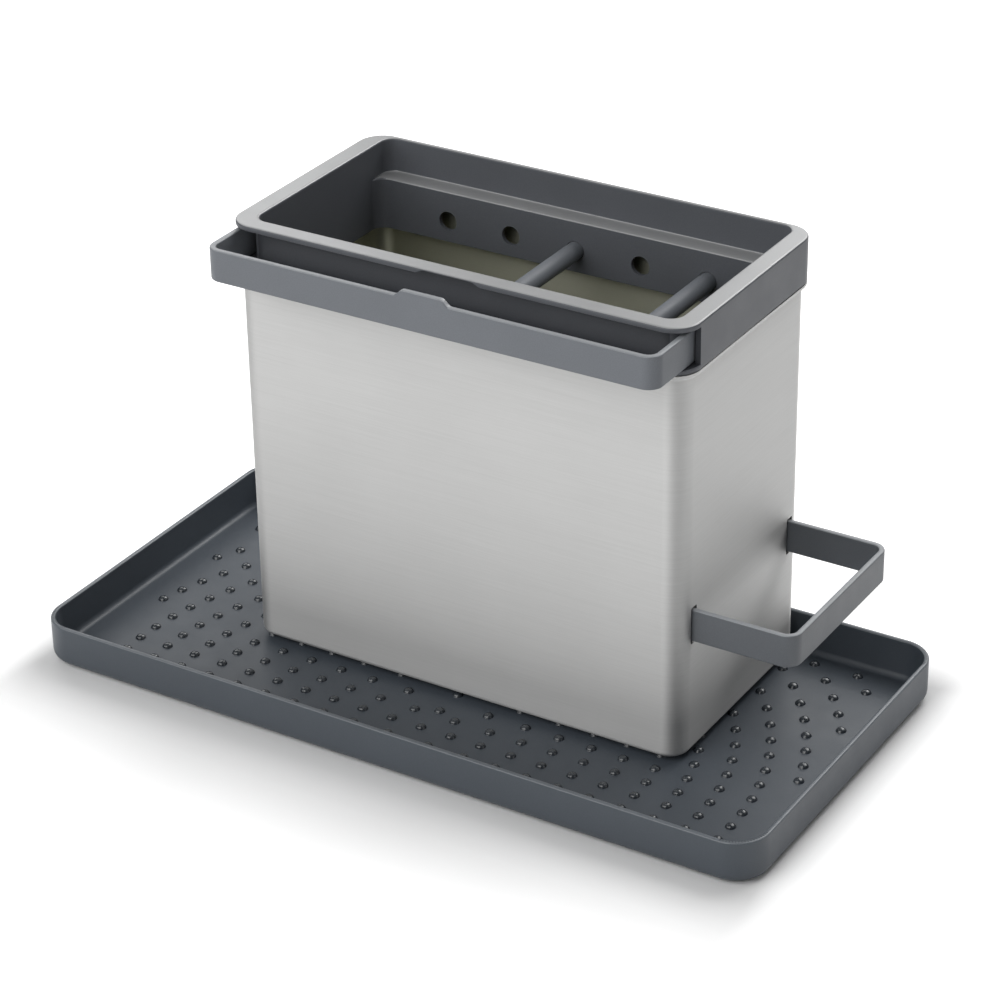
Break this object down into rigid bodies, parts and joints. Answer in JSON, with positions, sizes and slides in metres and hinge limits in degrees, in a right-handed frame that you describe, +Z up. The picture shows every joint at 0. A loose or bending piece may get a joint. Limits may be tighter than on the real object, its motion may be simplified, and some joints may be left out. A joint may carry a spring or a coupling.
{
  "type": "sink organizer tray",
  "caption": "Drip tray carrying a steel sleeve with a plastic collar, divider bars, and pull-out rails at its front and right side.",
  "frame": {"origin": "middle of the tray, on the surface that its feet stand on", "axes": "+X to the right, the side that the side rail comes out of; +Y to the back; +Z up"},
  "size_m": [0.32, 0.159, 0.1851],
  "materials": {
    "tray_plastic": "fine satin grain",
    "collar_plastic": "fine satin grain",
    "rail_plastic": "fine satin grain",
    "inner_plastic": "plain moulded",
    "satin_steel": "satin",
    "rubber": "matt"
  },
  "bodies": {
    "tray": {"tray": "tray_plastic", "tray_foot_front_left": "rubber", "tray_foot_front_right": "rubber", "tray_foot_back_left": "rubber", "tray_foot_back_right": "rubber"},
    "tower": {"tower_shell": "satin_steel", "tower_base": "inner_plastic", "tower_foot_front_left": "rubber", "tower_foot_front_right": "rubber", "tower_foot_back_left": "rubber", "tower_foot_back_right": "rubber", "side_rail_guide_front": "inner_plastic", "side_rail_guide_back": "inner_plastic"},
    "collar": {"collar": "collar_plastic"},
    "divider_bar_middle": {"divider_bar_middle": "collar_plastic"},
    "divider_bar_right": {"divider_bar_right": "collar_plastic"},
    "front_rail": {"front_rail": "rail_plastic", "front_rail_stop_left": "inner_plastic", "front_rail_stop_right": "inner_plastic"},
    "side_rail": {"side_rail": "rail_plastic", "side_rail_stop_front": "inner_plastic", "side_rail_stop_back": "inner_plastic"}
  },
  "joints": [
    {"name": "tower_lift", "type": "slide", "parent": "tray", "child": "tower", "axis": [0, 0, 1], "range_m": [0, 0.06]},
    {"name": "collar_lift", "type": "slide", "parent": "tower", "child": "collar", "axis": [0, 0, 1], "range_m": [0, 0.05]},
    {"name": "front_rail_slide", "type": "slide", "parent": "collar", "child": "front_rail", "axis": [0, 1, 0], "range_m": [0, 0.0177]},
    {"name": "side_rail_slide", "type": "slide", "parent": "tower", "child": "side_rail", "axis": [-1, 0, 0], "range_m": [0, 0.0362]},
    {"name": "divider_bar_middle_slide", "type": "slide", "parent": "collar", "child": "divider_bar_middle", "axis": [0, 1, 0], "range_m": [0, 0.004]},
    {"name": "divider_bar_right_slide", "type": "slide", "parent": "collar", "child": "divider_bar_right", "axis": [0, 1, 0], "range_m": [0, 0.004]}
  ]
}
